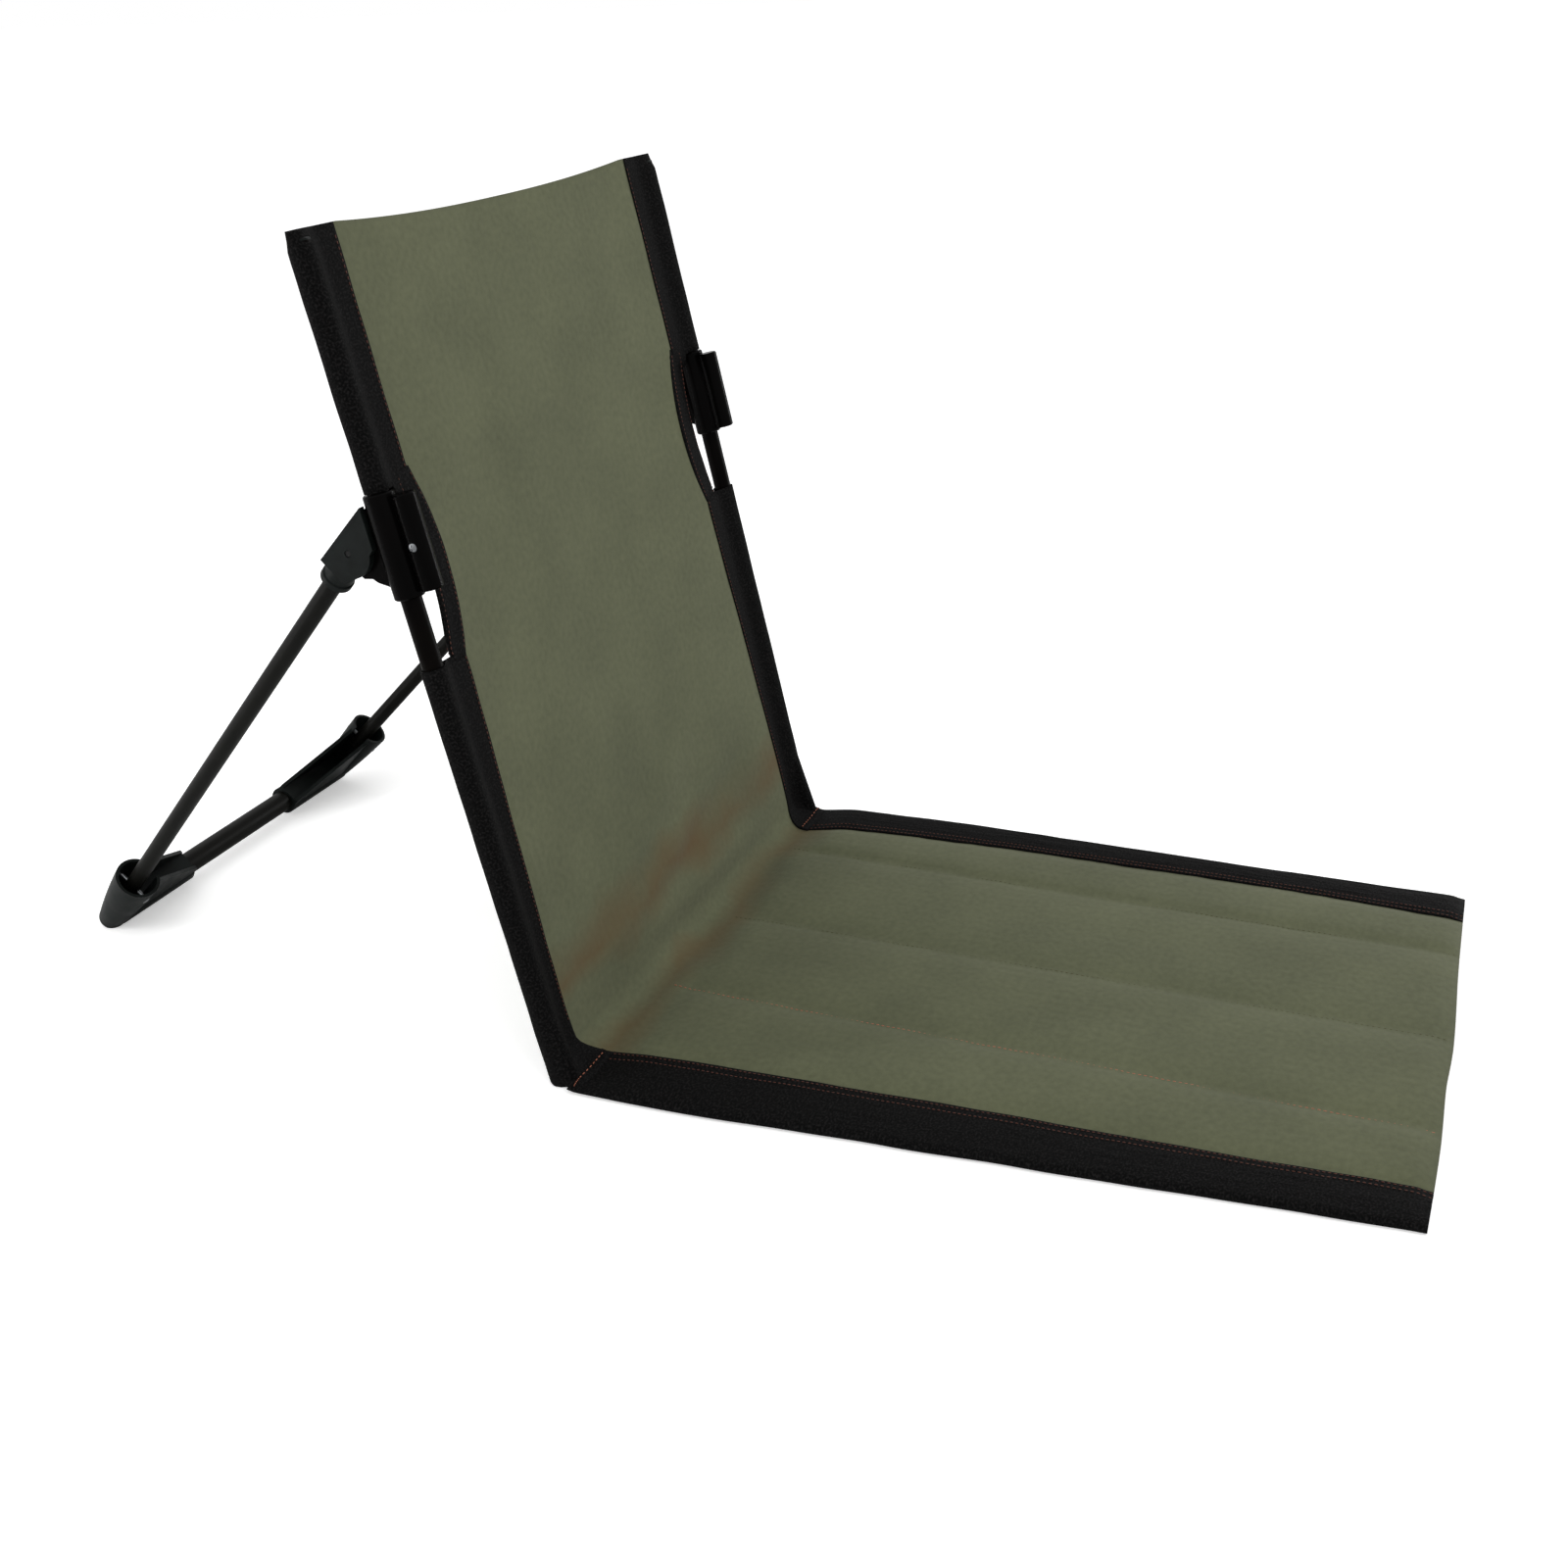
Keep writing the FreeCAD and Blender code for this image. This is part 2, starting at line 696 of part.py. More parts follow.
def seat_panel():
    """Padded cloth, raised between its lengthwise seams."""
    seams = [-tail_x] + list(seat_seams) + [tail_x]
    edges = []
    for start, end in zip(seams, seams[1:]):
        crest = V((start + end) / 2.0, 0, seat_edge_thickness + seat_crown)
        edges.append(arc(V(start, 0, seat_edge_thickness), crest, V(end, 0, seat_edge_thickness)))
    edges.append(line(V(tail_x, 0, seat_edge_thickness), V(tail_x, 0, 0)))
    edges.append(line(V(tail_x, 0, 0), V(-tail_x, 0, 0)))
    edges.append(line(V(-tail_x, 0, 0), V(-tail_x, 0, seat_edge_thickness)))
    section = face_of(edges)
    section.translate(V(0, fold_y - seat_length, 0))
    body = section.extrude(V(0, seat_length, 0))
    body = thin_at_fold(body, -tail_x, tail_x, seat_edge_thickness + seat_crown)
    return body.cut(front_bevel_tool(-tail_x, tail_x))


def front_bevel_tool(near_x, far_x):
    """Rounds off the hem along the seat's front edge."""
    front = fold_y - seat_length
    top = seat_edge_thickness + seat_crown
    return prism(
        [
            V(near_x, front, top - front_bevel),
            V(near_x, front + front_bevel, top + front_bevel_rise),
            V(near_x, front, top + front_bevel_rise),
        ],
        V(far_x - near_x, 0, 0),
    )


def seat_border():
    """Webbing folded round the seat's side edge."""
    outer_x = half_width - nose_radius
    crest = V((tail_x + outer_x) / 2.0, 0, border_thickness)
    inner_top = V(tail_x, 0, seat_edge_thickness + border_step)
    edges = [
        line(V(tail_x, 0, 0), V(outer_x, 0, 0)),
        arc(V(outer_x, 0, 0), V(half_width, 0, nose_radius), V(outer_x, 0, seat_edge_thickness)),
        arc(V(outer_x, 0, seat_edge_thickness), crest, inner_top),
        line(inner_top, V(tail_x, 0, 0)),
    ]
    section = face_of(edges)
    section.translate(V(0, fold_y - seat_length, 0))
    body = section.extrude(V(0, seat_length, 0))
    body = thin_at_fold(body, tail_x, outer_x, border_thickness)
    corner = Part.makeSphere(nose_radius, V(outer_x, fold_y, fold_z))
    return body.fuse(corner).removeSplitter()


def all_pieces():
    pieces = {
        "back_panel": back_panel(),
        "crossbar": place_frame(crossbar()),
        "seat_panel": seat_panel(),
    }
    paired = {
        "back_tube": place_back(back_tube()),
        "top_plug": place_back(tube_plug(tube_top)),
        "bottom_plug": place_back(tube_plug(tube_bottom)),
        "upper_sleeve": place_back(upper_sleeve()),
        "lower_sleeve": lower_sleeve(),
        "side_binding": place_back(side_binding()),
        "bracket": place_back(bracket()),
        "bracket_screw": place_back(bracket_screw()),
        "hinge_pin": place_back(hinge_pin()),
        "leg_fitting": place_frame(leg_fitting()),
        "leg_tube": place_frame(leg_tube()),
        "foot": foot(),
        "foot_rivet": place_frame(foot_rivet()),
        "seat_border": seat_border(),
    }
    for name, shape in paired.items():
        for side in ("right", "left"):
            pieces[side + "_" + name] = on_side(shape, side)
    return pieces


def main():
    os.makedirs("parts", exist_ok=True)
    pieces = all_pieces()
    front = fold_y - seat_length
    rear = pieces["left_foot"].optimalBoundingBox(False).YMax
    shift = -(front + rear) / 2.0
    for name, shape in pieces.items():
        solid = shape.Solids[0] if len(shape.Solids) == 1 else shape
        if len(shape.Solids) != 1 or not solid.isValid():
            print("check", name, len(shape.Solids), "solids, valid", shape.isValid())
        placed = solid.copy()
        placed.translate(V(0, shift, 0))
        placed.exportStep("parts/" + name + ".step")
    print("crease y %.3f" % shift)
    print("fold line y %.3f z %.3f" % (fold_y + shift, fold_z))
    print("hinge pins y %.3f z %.3f" % (pivot_y + shift, pivot_z))
    print("frame tilt %.3f degrees" % math.degrees(frame_tilt))
    print("seat front y %.1f, feet rear y %.1f" % (front + shift, rear + shift))


main()
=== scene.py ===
import math
from bisect import bisect_right

import bmesh
import bpy
from mathutils import Matrix, Vector, noise


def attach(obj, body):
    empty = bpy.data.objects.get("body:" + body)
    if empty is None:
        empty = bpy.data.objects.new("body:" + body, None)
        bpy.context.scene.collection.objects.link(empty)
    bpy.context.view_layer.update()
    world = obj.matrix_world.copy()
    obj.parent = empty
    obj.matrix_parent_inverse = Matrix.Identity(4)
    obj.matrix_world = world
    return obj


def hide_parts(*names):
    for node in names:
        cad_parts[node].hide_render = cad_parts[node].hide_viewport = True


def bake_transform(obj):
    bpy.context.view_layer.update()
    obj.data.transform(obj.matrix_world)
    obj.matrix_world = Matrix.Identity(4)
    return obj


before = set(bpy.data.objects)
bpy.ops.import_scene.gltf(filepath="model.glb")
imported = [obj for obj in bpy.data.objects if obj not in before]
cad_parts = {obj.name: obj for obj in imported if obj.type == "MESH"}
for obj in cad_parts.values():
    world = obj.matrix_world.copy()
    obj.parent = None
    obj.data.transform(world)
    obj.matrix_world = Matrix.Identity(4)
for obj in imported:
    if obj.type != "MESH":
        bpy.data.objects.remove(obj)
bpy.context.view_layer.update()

# Back tubes, legs and crossbar: drawn steel tube with a satin charcoal powder coat.
# The coat has a faint orange peel a millimetre or so across, which breaks up its highlights.


def linear(colour):
    """The linear value of an sRGB hex colour."""
    parts = [int(colour[i:i + 2], 16) / 255 for i in (1, 3, 5)]
    return tuple(p / 12.92 if p <= 0.04045 else ((p + 0.055) / 1.055) ** 2.4 for p in parts) + (1.0,)


def add(tree, kind, sockets=(), **settings):
    """Adds one node, with its own settings, and fills or links its sockets."""
    node = tree.nodes.new("ShaderNode" + kind)
    for key, value in settings.items():
        setattr(node, key, value)
    for key, value in dict(sockets).items():
        if isinstance(value, bpy.types.NodeSocket):
            tree.links.new(value, node.inputs[key])
        else:
            node.inputs[key].default_value = value
    return node


def surface(name, colour, roughness):
    """A new material, its node tree and its Principled shader."""
    material = bpy.data.materials.new(name)
    material.use_nodes = True
    tree = material.node_tree
    shader = tree.nodes["Principled BSDF"]
    shader.inputs["Base Color"].default_value = linear(colour)
    shader.inputs["Roughness"].default_value = roughness
    return material, tree, shader


def speckled(tree, shader, grain_mm, light, dark, rough_low, rough_high, bump_mm, strength):
    """Varies a moulded or coated skin: its relief with a fine noise, its colour and gloss with one
    18 times as broad."""
    place = add(tree, "TexCoord").outputs["Object"]
    grain = add(tree, "TexNoise", {"Vector": place, "Scale": 1000 / grain_mm, "Detail": 3.0})
    broad = add(tree, "TexNoise", {"Vector": place, "Scale": 1000 / (grain_mm * 18), "Detail": 4.0})
    tone = add(tree, "ValToRGB", {"Fac": broad.outputs["Fac"]})
    for stop, level, colour in zip(tone.color_ramp.elements, (0.35, 0.7), (dark, light)):
        stop.position, stop.color = level, linear(colour)
    tree.links.new(tone.outputs["Color"], shader.inputs["Base Color"])
    gloss = add(tree, "MapRange", {
        "Value": broad.outputs["Fac"], "From Min": 0.3, "From Max": 0.7,
        "To Min": rough_low, "To Max": rough_high,
    })
    tree.links.new(gloss.outputs["Result"], shader.inputs["Roughness"])
    relief = add(tree, "Bump", {
        "Height": grain.outputs["Fac"], "Distance": bump_mm / 1000, "Strength": strength,
    })
    tree.links.new(relief.outputs["Normal"], shader.inputs["Normal"])


def dress(material, *nodes):
    """Gives CAD nodes a finish."""
    for name in nodes:
        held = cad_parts[name].data.materials
        held.clear()
        held.append(material)


powder_coat, tree, shader = surface("satin_powder_coat", "#121210", 0.4)
shader.inputs["Specular IOR Level"].default_value = 0.045
speckled(tree, shader, 1.2, "#121210", "#0C0C0A", 0.34, 0.46, 0.05, 0.35)
dress(powder_coat, "crossbar", "right_leg_tube", "left_leg_tube")

# The back tubes show only beside the brackets, in a deeper black coat.
deep_coat, tree, shader = surface("black_powder_coat", "#060504", 0.35)
shader.inputs["Specular IOR Level"].default_value = 0.02
speckled(tree, shader, 1.2, "#080605", "#040303", 0.3, 0.4, 0.05, 0.35)
dress(deep_coat, "right_back_tube", "left_back_tube")

# Brackets: glass-filled nylon from a polished mould, so near black and glossy.
# The long barrels throw thin bright lines, a little broken by shrinkage in the thick walls.
gloss_nylon, tree, shader = surface("polished_nylon", "#050404", 0.17)
shader.inputs["Specular IOR Level"].default_value = 0.025
speckled(tree, shader, 5.0, "#060505", "#030303", 0.13, 0.22, 0.12, 0.3)
dress(gloss_nylon, "right_bracket", "left_bracket")

# Leg fittings, cup feet and tube plugs: nylon from a spark-eroded mould, dark with a green cast.
# Its half-millimetre grain keeps it duller than the brackets.
grained_nylon, tree, shader = surface("spark_eroded_nylon", "#101312", 0.45)
shader.inputs["Specular IOR Level"].default_value = 0.07
speckled(tree, shader, 0.6, "#131716", "#0C0F0E", 0.4, 0.52, 0.06, 0.5)
dress(grained_nylon, *(
    f"{side}_{part}" for side in ("right", "left")
    for part in ("leg_fitting", "foot", "top_plug", "bottom_plug")
))

# Screws and rivets: zinc-plated steel, with a brushed grain and a dull silver gloss. The hinge
# pins are blackened, so they hardly show in the sides of the fittings.
zinc, tree, shader = surface("zinc_plated_steel", "#77797B", 0.36)
shader.inputs["Metallic"].default_value = 1.0
speckled(tree, shader, 0.5, "#808284", "#626466", 0.3, 0.45, 0.02, 0.4)
dress(zinc, *(f"{side}_{part}" for side in ("right", "left") for part in ("bracket_screw", "foot_rivet")))
black_oxide, tree, shader = surface("black_oxide_steel", "#0B0B0B", 0.38)
shader.inputs["Specular IOR Level"].default_value = 0.15
dress(black_oxide, "right_hinge_pin", "left_hinge_pin")

# Olive cloth: one length of plain-woven polyester that makes the back, the bend and the seat.
# It is stretched between the sleeves, bends softly on the floor, and the seat is quilted in
# four lengthwise channels over a thin pad.
lean = math.radians(12.0)
crease_y = 0.038926
fold_y = 0.024881
fold_z = 0.0025
bend_radius = 0.018
seat_run = 0.474
bend_run = bend_radius * (math.pi / 2 - lean)
bend_top = (fold_z + bend_radius * (1 - math.sin(lean))) / math.cos(lean)
back_height = 0.5
tail_x = 0.16
tube_x = 0.1928
scallop_middle = 0.316
scallop_half = 0.051
scallop_depth = 0.0085
outward = {"right": -1, "left": 1}


def lay(x, run, rise):
    """A point of the chair's cloth. run goes from the seat's front, round the bend and up the
    back, and rise is measured from the cloth's middle toward the sitter."""
    if run < seat_run:
        return Vector((x, fold_y - seat_run + run, fold_z + rise))
    if run < seat_run + bend_run:
        turn = (run - seat_run) / bend_radius
        radius = bend_radius - rise
        height = fold_z + bend_radius - radius * math.cos(turn)
        return Vector((x, fold_y + radius * math.sin(turn), height))
    return up_back(x, bend_top + run - seat_run - bend_run, rise)


def up_back(x, height, rise):
    """A point on the back, height along its slope from the floor."""
    return Vector((
        x,
        crease_y + height * math.sin(lean) - rise * math.cos(lean),
        height * math.cos(lean) + rise * math.sin(lean),
    ))


def run_at(height):
    """How far round the cloth a height up the back is."""
    return seat_run + bend_run + height - bend_top


def height_at(run):
    """The height up the back at a place round the cloth."""
    return run - seat_run - bend_run + bend_top


def eased(low, high, value):
    """A smooth step from 0 at low to 1 at high."""
    share = min(1.0, max(0.0, (value - low) / (high - low)))
    return share * share * (3 - 2 * share)


def through(points, at):
    """Smooth curve through (place, value) points."""
    keys = [p[0] for p in points]
    at = min(max(at, keys[0]), keys[-1])
    i = min(max(bisect_right(keys, at) - 1, 0), len(points) - 2)

    def slope(j):
        before, after = points[max(j - 1, 0)], points[min(j + 1, len(points) - 1)]
        return (after[1] - before[1]) / (after[0] - before[0])

    (x0, y0), (x1, y1) = points[i], points[i + 1]
    step = x1 - x0
    t = (at - x0) / step
    return (
        (1 + 2 * t) * (1 - t) ** 2 * y0 + t * (1 - t) ** 2 * step * slope(i)
        + t * t * (3 - 2 * t) * y1 + t * t * (t - 1) * step * slope(i + 1)
    )


# The seat lies a little askew: distances out from the fold, and the border's edges there.
right_edge = [
    (0.0, -0.203), (0.071, -0.2), (0.164, -0.191), (0.296, -0.18), (0.398, -0.17), (seat_run, -0.164),
]
right_inner = [(0.0, -0.159), (0.112, -0.151), (0.23, -0.144), (0.34, -0.139), (seat_run, -0.1315)]
left_edge = [(0.0, 0.2), (0.035, 0.205), (0.125, 0.208), (0.24, 0.207), (0.345, 0.206), (seat_run, 0.207)]
left_inner = [(0.0, 0.161), (0.035, 0.17), (0.14, 0.177), (0.25, 0.178), (0.345, 0.178), (seat_run, 0.172)]
seams = (
    [(0.0, -0.078), (seat_run, -0.077)],
    [(0.0, 0.02), (seat_run, 0.021)],
    [(0.0, 0.128), (seat_run, 0.124)],
)
# The sleeves' inner edges, by height up the back, and the front edge's slight wave, by x.
sleeve_edge = [
    (-0.01, 0.16), (0.0, 0.161), (0.02, 0.17), (0.144, 0.167), (0.264, 0.162), (0.372, 0.164),
    (back_height, 0.163),
]
front_wave = [(-0.17, -0.001), (-0.09, 0.001), (-0.03, 0.0005), (0.015, 0.002), (0.1, 0.0), (0.2, -0.001)]
seat_thickness = 0.005
seat_crown = 0.0028
cloth_thickness = 0.0014
seam_sink = 0.0006
back_bow = 0.005
top_sag = 0.0052
border_tuck, scallop_tuck, sleeve_tuck = 0.008, 0.004, 0.003


def tucked(run):
    """The cloth's two edges, which are tucked into the sleeves, bindings and borders."""
    if run < seat_run:
        out = seat_run - run
        return through(right_inner, out) - border_tuck, through(left_inner, out) + border_tuck
    height = height_at(run)
    if abs(height - scallop_middle) < scallop_half:
        edge = scallop(height) + scallop_tuck
    else:
        edge = through(sleeve_edge, height) + sleeve_tuck
    return -edge, edge


def scallop(height):
    """The cloth's edge in the scallop beside the bracket."""
    return tail_x - scallop_depth * (1 - ((height - scallop_middle) / scallop_half) ** 2)


# Each fold: the x and run of its middle, its slant, its half length, half width and height.
folds = (
    (0.02, 0.512, -0.05, 0.14, 0.010, 0.0026),
    (-0.05, 0.535, 0.16, 0.10, 0.009, 0.0022),
    (0.07, 0.548, 0.22, 0.09, 0.011, -0.0020),
    (-0.02, 0.575, 0.30, 0.09, 0.014, 0.0016),
    (-0.09, 0.470, -0.10, 0.07, 0.009, 0.0016),
    (0.09, 0.462, 0.12, 0.07, 0.010, 0.0014),
)


def creases(x, run):
    """Soft folds where the cloth turns from back to seat, each along a slightly slanting line."""
    rise = 0.0
    for x0, run0, slope, reach, width, height in folds:
        away = (run - run0 - slope * (x - x0)) / width
        rise += height * math.exp(-away * away) * (1 - eased(0.4 * reach, reach, abs(x - x0)))
    return rise


def slackness(x, run):
    """Broad unevenness of stretched cloth."""
    broad = noise.noise(Vector((x * 9, run * 7, 1.7)))
    fine = noise.noise(Vector((x * 30, run * 22, 8.3)))
    return 0.0012 * broad + 0.0003 * fine


def padded(out):
    """How much of its padding the seat has: none at the fold line, all of it 30 mm out."""
    return eased(0.0, 0.03, out)


def seat_rise(x, out):
    """Height of the seat's top over the cloth's middle: raised between the seams."""
    edges = [through(right_inner, out), *(through(seam, out) for seam in seams), through(left_inner, out)]
    i = min(max(bisect_right(edges, x) - 1, 0), len(edges) - 2)
    low, high = edges[i], edges[i + 1]
    share = min(1.0, abs((2 * x - low - high) / (high - low)))
    crown = seat_crown * (1 - share ** 3.2)
    to_seam = min(x - low, high - x)
    pucker = noise.noise(Vector((x * 60, out * 75, 4.1))) * 0.0005 * math.exp(-abs(to_seam) / 0.012)
    full = padded(out)
    return cloth_thickness / 2 * (1 - full) + (seat_thickness / 2 - seam_sink + crown + pucker) * full


def cloth_front(x, run):
    """Rise of the side that the sitter leans on."""
    if run < seat_run:
        out = seat_run - run
        hem = eased(seat_run, seat_run - 0.012, out)
        return seat_rise(x, out) * (0.45 + 0.55 * hem) + 0.6 * slackness(x, run) + creases(x, run)
    return back_sag(x, run) + cloth_thickness / 2


def back_sag(x, run):
    """Rise of the back's cloth: bowed back between the sleeves, with a slight ridge from bracket to
    bracket and slacker cloth below it."""
    height = height_at(run)
    across = min(1.0, abs(x) / tail_x)
    bow = back_bow * (1 - across ** 2) * eased(0.02, 0.09, height)
    flat = 1 - across ** 6
    crossing = 0.3725 + 0.005 * x + 0.003 * noise.noise(Vector((x * 20, 0, 0)))
    ridge = 0.0011 * math.exp(-((height - crossing) / 0.006) ** 2)
    slack = 0.0016 * eased(0.0, 0.03, crossing - height) * eased(0.2, 0.3, height)
    return -bow + flat * (ridge - slack + slackness(x, run) + creases(x, run))


def cloth_rear(x, run):
    """Rise of the other side, which lies just clear of the floor under the seat."""
    if run < seat_run:
        out = seat_run - run
        down = fold_z - cloth_thickness / 2 - 0.0002
        return -cloth_thickness / 2 - down * padded(out) + 0.5 * max(0.0, creases(x, run))
    return back_sag(x, run) - cloth_thickness / 2


def top_run(x):
    """The back's top edge sags between the sleeves."""
    return run_at(back_height) - top_sag * (1 - min(1.0, abs(x) / tail_x) ** 2.4)


# The rear side's weave lies this far across the map, so that the painted shade at the bend can stay on the
# front.
rear_weave = 4.0


def slab(name, columns, rows, place, pattern):
    """A closed sheet: a grid and its copy one unit above, joined round the edge. place gives
    each point from its two shares and its layer, and pattern its flat place in the weave."""
    bm = bmesh.new()
    bmesh.ops.create_grid(bm, x_segments=columns, y_segments=rows, size=0.5)
    under = list(bm.faces)
    made = bmesh.ops.extrude_face_region(bm, geom=under, use_keep_orig=True)
    raised = [g for g in made["geom"] if isinstance(g, bmesh.types.BMVert)]
    bmesh.ops.translate(bm, verts=raised, vec=(0, 0, 1))
    bmesh.ops.reverse_faces(bm, faces=under)
    weave = bm.loops.layers.uv.new("weave")
    for face in bm.faces:
        apart = 0.0 if any(vert.co.z > 0.5 for vert in face.verts) else rear_weave
        for loop in face.loops:
            across, along = pattern(loop.vert.co.x + 0.5, loop.vert.co.y + 0.5)
            loop[weave].uv = (across + apart, along)
    for vert in bm.verts:
        vert.co = place(vert.co.x + 0.5, vert.co.y + 0.5, vert.co.z)
    return made_piece(name, bm)


def made_piece(name, bm):
    """Turns a bmesh into a smooth piece in the scene, its faces outward even on an open tube."""
    bmesh.ops.recalc_face_normals(bm, faces=bm.faces)
    if bm.calc_volume(signed=True) < 0:
        bmesh.ops.reverse_faces(bm, faces=bm.faces)
    mesh = bpy.data.meshes.new(name)
    bm.to_mesh(mesh)
    bm.free()
    mesh.shade_smooth()
    piece = bpy.data.objects.new(name, mesh)
    bpy.context.scene.collection.objects.link(piece)
    return piece


def cloth_flat(u, v):
    """The x and run of a point of the cloth, from its shares across and along."""
    run = v * run_at(back_height)
    low, high = tucked(run)
    return low + (high - low) * u, run


def cloth_point(u, v, layer):
    """A point of the cloth's front (layer 1) or rear (layer 0)."""
    x, run = cloth_flat(u, v)
    front = (1 - eased(0.0, 0.12, v)) * through(front_wave, x)
    top = eased(0.94, 1.0, v) * (run_at(back_height) - top_run(x))
    run -= front + top
    return lay(x, run, cloth_front(x, run) if layer > 0.5 else cloth_rear(x, run))


def across_fold(piece):
    """Bakes the placement of a piece of cloth or webbing, which lies on both sides of the fold, into its
    mesh.
    """
    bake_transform(piece)


olive_cloth = slab("olive_cloth", 104, 246, cloth_point, cloth_flat)

olive, tree, shader = surface("plain_weave_polyester", "#62664D", 0.86)
shader.inputs["Sheen Weight"].default_value = 0.06
shader.inputs["Sheen Roughness"].default_value = 0.5
shader.inputs["Specular IOR Level"].default_value = 0.15
weave = add(tree, "UVMap", uv_map="weave").outputs["UV"]
# The real threads lie about 0.5 mm apart, too fine to show. Drawn are bands of tighter and looser
# threads, 8 mm apart each way, and slubs. A wave at scale 1 repeats every tau / 20.
band = 0.0081681
warp, weft = (
    add(tree, "TexWave", {
        "Vector": weave, "Scale": math.tau / 20 / band, "Distortion": 0.6, "Detail": 1.0, "Detail Scale": 3.0,
    }, bands_direction=direction)
    for direction in ("X", "Y")
)
crossing = add(tree, "Math", {0: warp.outputs["Fac"], 1: weft.outputs["Fac"]}, operation="MULTIPLY")
slub = add(tree, "TexNoise", {"Vector": weave, "Scale": 240.0, "Detail": 4.0})
cloud = add(tree, "TexNoise", {"Vector": weave, "Scale": 14.0, "Detail": 5.0})
tone = add(tree, "ValToRGB", {"Fac": cloud.outputs["Fac"]})
for stop, level, colour in zip(tone.color_ramp.elements, (0.3, 0.72), ("#50533E", "#595C45")):
    stop.position, stop.color = level, linear(colour)
thread_tone = add(tree, "MapRange", {
    "Value": slub.outputs["Fac"], "From Min": 0.3, "From Max": 0.7, "To Min": 0.9, "To Max": 1.09,
})
shade = add(tree, "MixRGB", {
    "Fac": 1.0, "Color1": tone.outputs["Color"], "Color2": thread_tone.outputs["Result"],
}, blend_type="MULTIPLY")
# Two brownish bands of painted shade lie along the bend: one on the back and one on the seat. They wander and
# are patchy, and show on the front only.
along = add(tree, "SeparateXYZ", {"Vector": weave})
drift = add(tree, "TexNoise", {"Vector": weave, "Scale": 16.0, "Detail": 3.0})
drift = add(tree, "MapRange", {"Value": drift.outputs["Fac"], "To Min": -0.022, "To Max": 0.022})
wandering = add(tree, "Math", {0: along.outputs["Y"], 1: drift.outputs["Result"]}, operation="ADD")
past_fold = add(tree, "MapRange", {
    "Value": wandering.outputs["Value"], "From Min": seat_run - 0.04, "From Max": seat_run + 0.12,
})
bands = add(tree, "ValToRGB", {"Fac": past_fold.outputs["Result"]})
for stop in bands.color_ramp.elements:
    stop.color = (0, 0, 0, 1)
for place, level in ((0.12, 0.0), (0.25, 0.7), (0.36, 0.0), (0.5, 0.05), (0.62, 1.0), (0.8, 0.0)):
    stop = bands.color_ramp.elements.new(place)
    stop.color = (level, level, level, 1)
in_front = add(tree, "Math", {0: along.outputs["X"], 1: rear_weave / 2}, operation="LESS_THAN")
patches = add(tree, "MapRange", {
    "Value": cloud.outputs["Fac"], "From Min": 0.35, "From Max": 0.6, "To Min": 0.45,
})
patches = add(tree, "Math", {
    0: patches.outputs["Result"], 1: in_front.outputs["Value"],
}, operation="MULTIPLY")
# Painted shade at the bend: where bands and patches meet, the cloth's colour is mixed toward brown.
painted_bend_shade = add(tree, "Math", {0: bands.outputs["Color"], 1: patches.outputs["Value"]}, operation="MULTIPLY")
painted_shade_mix = add(tree, "MixRGB", {
    "Fac": painted_bend_shade.outputs["Value"], "Color1": shade.outputs["Color"], "Color2": linear("#54452C"),
})
tree.links.new(painted_shade_mix.outputs["Color"], shader.inputs["Base Color"])
height = add(tree, "Math", {0: crossing.outputs["Value"], 1: slub.outputs["Fac"]}, operation="ADD")
relief = add(tree, "Bump", {"Height": height.outputs["Value"], "Distance": 0.00025, "Strength": 0.35})
tree.links.new(relief.outputs["Normal"], shader.inputs["Normal"])
olive_cloth.data.materials.append(olive)
across_fold(olive_cloth)
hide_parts("back_panel", "seat_panel")

# Webbing: black polyester tape with a fine twill, folded round the tubes and the seat's edges.
# Its steep ribs catch a little light, which is painted into its colour as dark grey flecks on near black:
# painted highlights.
webbing, tree, shader = surface("twill_webbing", "#080808", 0.8)
shader.inputs["Specular IOR Level"].default_value = 0.05
weave = add(tree, "UVMap", uv_map="weave").outputs["UV"]
# Ribs of the real tape are about 0.8 mm apart, too fine to show. Drawn are slanting bands 10 mm
# apart, much broken up, and flecks. A slanting wave at scale 1 repeats every tau / (10 root 2).
rib_band = 0.0097743
ribs = add(tree, "TexWave", {
    "Vector": weave, "Scale": math.tau / (10 * math.sqrt(2)) / rib_band,
    "Distortion": 6.0, "Detail": 2.0, "Detail Scale": 9.0,
}, bands_direction="DIAGONAL")
fleck_and_glint = add(tree, "TexNoise", {"Vector": weave, "Scale": 760.0, "Detail": 1.0})
# Painted highlight: the lighter flecks in the base colour stand for light caught by the ribs; the same noise
# also roughens the relief.
tone = add(tree, "ValToRGB", {"Fac": fleck_and_glint.outputs["Fac"]})
for stop, level, colour in zip(tone.color_ramp.elements, (0.46, 0.68), ("#040404", "#181717")):
    stop.position, stop.color = level, linear(colour)
tree.links.new(tone.outputs["Color"], shader.inputs["Base Color"])
mixed = add(tree, "Math", {0: ribs.outputs["Fac"], 1: fleck_and_glint.outputs["Fac"]}, operation="MULTIPLY")
relief = add(tree, "Bump", {"Height": mixed.outputs["Value"], "Distance": 0.0004, "Strength": 0.6})
tree.links.new(relief.outputs["Normal"], shader.inputs["Normal"])


